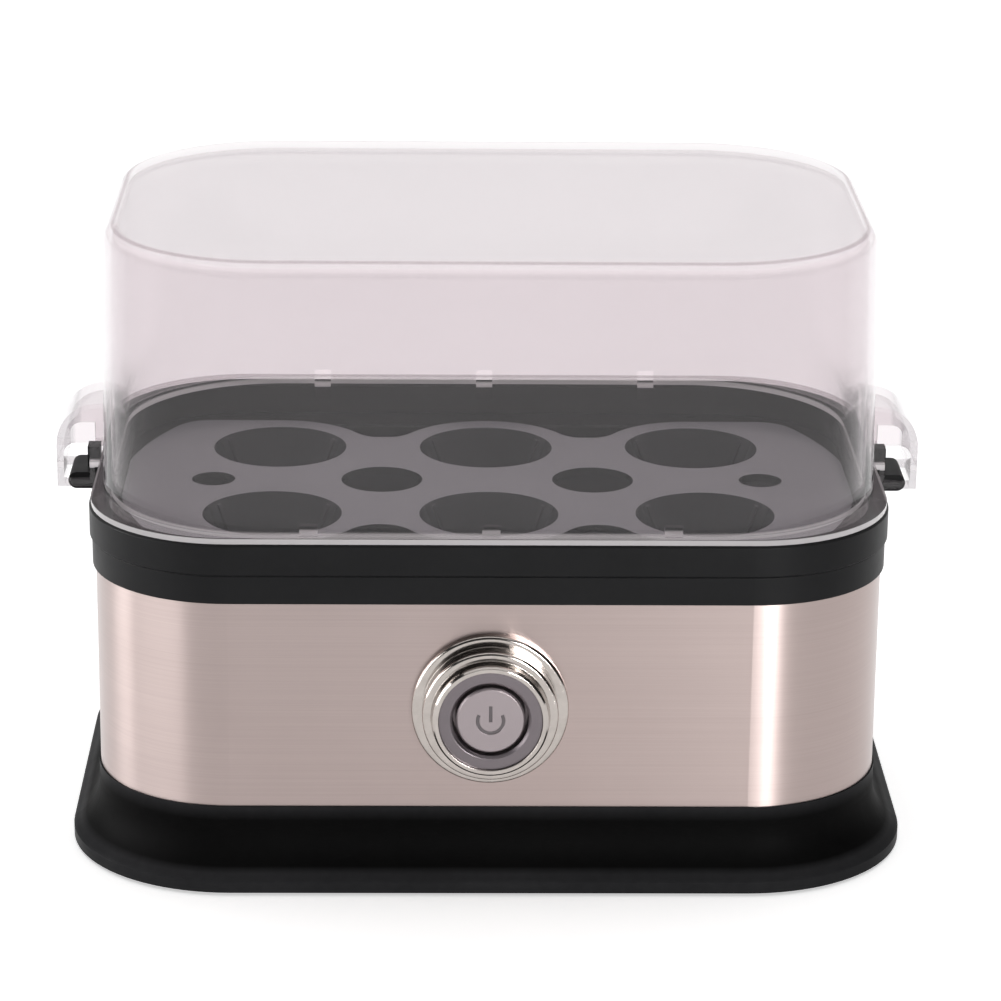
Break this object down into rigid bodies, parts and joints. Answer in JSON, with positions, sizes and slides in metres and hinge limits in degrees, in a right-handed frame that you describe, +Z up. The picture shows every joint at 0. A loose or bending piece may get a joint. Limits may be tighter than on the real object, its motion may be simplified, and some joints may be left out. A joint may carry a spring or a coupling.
{
  "type": "egg cooker",
  "caption": "Electric egg cooker: steel-sleeved base with a water bowl, lift-out egg tray, clear lid with end hoods and a push button in a chrome bezel.",
  "frame": {"origin": "middle of the footprint on the resting surface, under the steel sleeve", "axes": "+X to the right seen from the front, +Y to the back (the button faces -Y), +Z up"},
  "size_m": [0.224, 0.1581, 0.161],
  "materials": {
    "clear_lid": "clear, faintly hazy",
    "tray_grey": "satin grey",
    "collar_black": "fine satin",
    "base_black": "fine satin",
    "satin_steel": "fine satin brush",
    "foot_rubber": "matt",
    "zinc_screw": "zinc plated",
    "bowl_coating": "dark non-stick coating",
    "silicone": "matt",
    "plate_aluminium": "mill finish",
    "element_sheath": "oxidised",
    "terminal_steel": "plain",
    "dark_moulding": "plain",
    "fuse_ceramic": "glazed",
    "brass_tag": "plain",
    "chrome_bezel": "polished",
    "ring_grey": "satin",
    "button_satin": "satin",
    "spring_steel": "plain",
    "plunger_white": "plain",
    "block_cream": "plain",
    "gland_black": "plain",
    "lead_brown": "pvc",
    "lead_black": "pvc",
    "lead_blue": "pvc",
    "lead_green": "pvc"
  },
  "bodies": {
    "base": {"top_ring": "collar_black", "inner_frame": "collar_black", "steel_shell": "satin_steel", "base_skirt": "base_black", "rubber_feet": "foot_rubber", "tie_screws": "zinc_screw", "heating_bowl": "bowl_coating", "bowl_seal": "silicone", "heat_plate": "plate_aluminium", "heating_element": "element_sheath", "element_terminals": "terminal_steel", "thermostat": "dark_moulding", "thermal_fuse": "fuse_ceramic", "fuse_clip": "plate_aluminium", "earth_tag": "brass_tag", "bezel": "chrome_bezel", "bezel_nut": "terminal_steel", "light_ring": "ring_grey", "button_spring": "spring_steel", "switch_bracket": "plate_aluminium", "bracket_screws": "zinc_screw", "power_switch": "dark_moulding", "terminal_block": "block_cream", "block_screws": "zinc_screw", "cord_gland": "gland_black", "gland_nut": "gland_black", "line_lead": "lead_brown", "switched_lead": "lead_black", "element_lead": "lead_black", "neutral_lead": "lead_blue", "fuse_lead": "lead_blue", "earth_lead": "lead_green"},
    "lid_body": {"lid": "clear_lid"},
    "tray_body": {"egg_tray": "tray_grey"},
    "button_body": {"power_button": "button_satin", "switch_plunger": "plunger_white"}
  },
  "joints": [
    {"name": "lid_lift", "type": "slide", "parent": "base", "child": "lid_body", "axis": [0, 0, 1], "range_m": [0, 0.12]},
    {"name": "tray_lift", "type": "slide", "parent": "base", "child": "tray_body", "axis": [0, 0, 1], "range_m": [0, 0.04]},
    {"name": "button_press", "type": "slide", "parent": "base", "child": "button_body", "axis": [0, 1, 0], "range_m": [0, 0.002], "stiffness_N_per_m": 400, "springref_m": -0.002, "deforming": ["button_spring"]}
  ]
}
